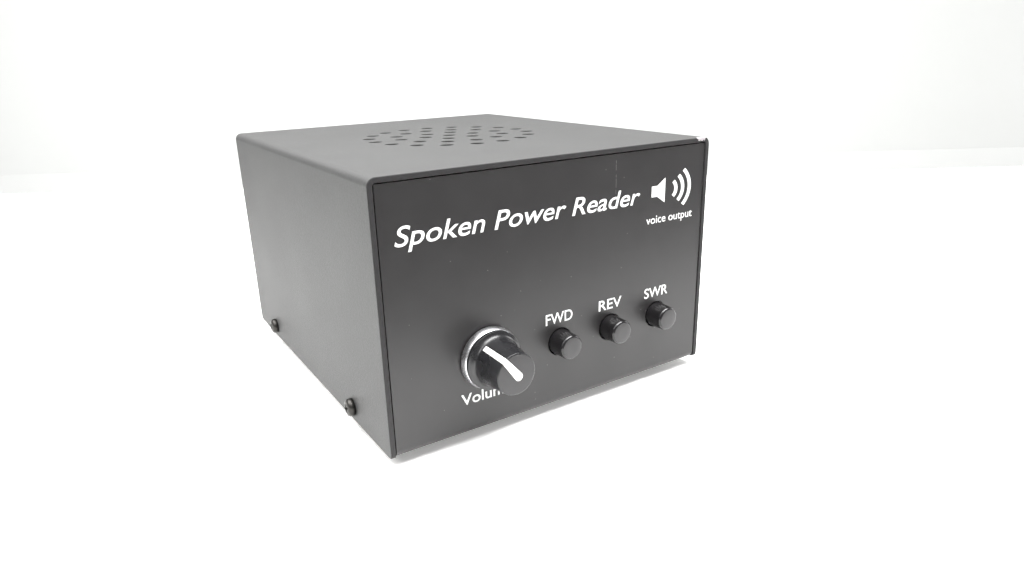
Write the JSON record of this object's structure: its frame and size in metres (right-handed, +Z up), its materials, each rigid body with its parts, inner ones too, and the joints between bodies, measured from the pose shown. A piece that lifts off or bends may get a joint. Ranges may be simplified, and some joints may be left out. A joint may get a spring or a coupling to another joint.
{
  "type": "talking rf power meter",
  "caption": "Black sheet-metal desktop radio power meter that speaks its readings: round loudspeaker grille in the top, volume knob and push buttons in front, sockets at the back.",
  "frame": {"origin": "on the table, under the middle of the whole object, with the feet's undersides at z = 0", "axes": "+Z up, +X to the right seen from the front, +Y from the front panel to the rear panel"},
  "size_m": [0.1316, 0.1641, 0.0869],
  "materials": {
    "cover_paint": "fine textured black powder coat",
    "panel_paint": "smooth satin black paint",
    "screw_black": "black oxide steel",
    "rubber_black": "matt black rubber",
    "knob_black": "glossy black moulding with a satin front",
    "ring_bright": "bright plated ring",
    "marking_white": "white inlay and printing",
    "button_black": "glossy black moulding",
    "plunger_white": "natural nylon",
    "moulded_black": "matt black moulding",
    "board_green": "green solder mask on glass laminate",
    "zinc_plate": "bright zinc plate",
    "standoff_brass": "turned brass",
    "aluminium_plain": "plain aluminium",
    "magnet_ferrite": "ground ferrite",
    "cone_paper": "dark pressed paper",
    "gasket_felt": "black felt",
    "lead_insulation": "red and black soft insulation",
    "socket_nickel": "nickel plate"
  },
  "bodies": {
    "case": {"cover": "cover_paint", "chassis": "panel_paint", "cover_screw_left_front": "screw_black", "cover_screw_left_rear": "screw_black", "cover_screw_right_front": "screw_black", "cover_screw_right_rear": "screw_black", "base_screw_1": "screw_black", "base_screw_2": "screw_black", "base_screw_3": "screw_black", "base_screw_4": "screw_black", "foot_left_front": "rubber_black", "foot_left_rear": "rubber_black", "foot_right_front": "rubber_black", "foot_right_rear": "rubber_black", "pot_body": "zinc_plate", "pot_washer": "zinc_plate", "pot_nut": "zinc_plate", "fwd_switch": "moulded_black", "rev_switch": "moulded_black", "swr_switch": "moulded_black", "front_board": "board_green", "board_header": "moulded_black", "main_board": "board_green", "standoff_1": "standoff_brass", "standoff_2": "standoff_brass", "standoff_3": "standoff_brass", "standoff_4": "standoff_brass", "board_screw_1": "zinc_plate", "board_screw_2": "zinc_plate", "board_screw_3": "zinc_plate", "board_screw_4": "zinc_plate", "microcontroller": "moulded_black", "speech_chip": "moulded_black", "amplifier_chip": "moulded_black", "regulator": "moulded_black", "heat_sink": "aluminium_plain", "filter_capacitor": "aluminium_plain", "speaker_frame": "zinc_plate", "speaker_magnet": "magnet_ferrite", "speaker_cone": "cone_paper", "speaker_gasket": "gasket_felt", "speaker_nut_1": "zinc_plate", "speaker_nut_2": "zinc_plate", "speaker_nut_3": "zinc_plate", "speaker_nut_4": "zinc_plate", "speaker_lead": "lead_insulation", "sensor_jack": "moulded_black", "dc_jack": "moulded_black", "dc_pin": "socket_nickel", "dc_nut": "socket_nickel"},
    "volume_control": {"knob": "knob_black", "knob_ring": "ring_bright", "knob_pointer": "marking_white", "pot_shaft": "aluminium_plain"},
    "fwd_key": {"fwd_button": "button_black", "fwd_plunger": "plunger_white"},
    "rev_key": {"rev_button": "button_black", "rev_plunger": "plunger_white"},
    "swr_key": {"swr_button": "button_black", "swr_plunger": "plunger_white"}
  },
  "joints": [
    {"name": "volume_turn", "type": "hinge", "parent": "case", "child": "volume_control", "pos_m": [-0.0291, -0.06595, 0.0279], "axis": [0, 1, 0], "range_deg": [-112, 188]},
    {"name": "fwd_press", "type": "slide", "parent": "case", "child": "fwd_key", "axis": [0, 1, 0], "range_m": [0, 0.001], "stiffness_N_per_m": 2000},
    {"name": "rev_press", "type": "slide", "parent": "case", "child": "rev_key", "axis": [0, 1, 0], "range_m": [0, 0.001], "stiffness_N_per_m": 2000},
    {"name": "swr_press", "type": "slide", "parent": "case", "child": "swr_key", "axis": [0, 1, 0], "range_m": [0, 0.001], "stiffness_N_per_m": 2000}
  ]
}
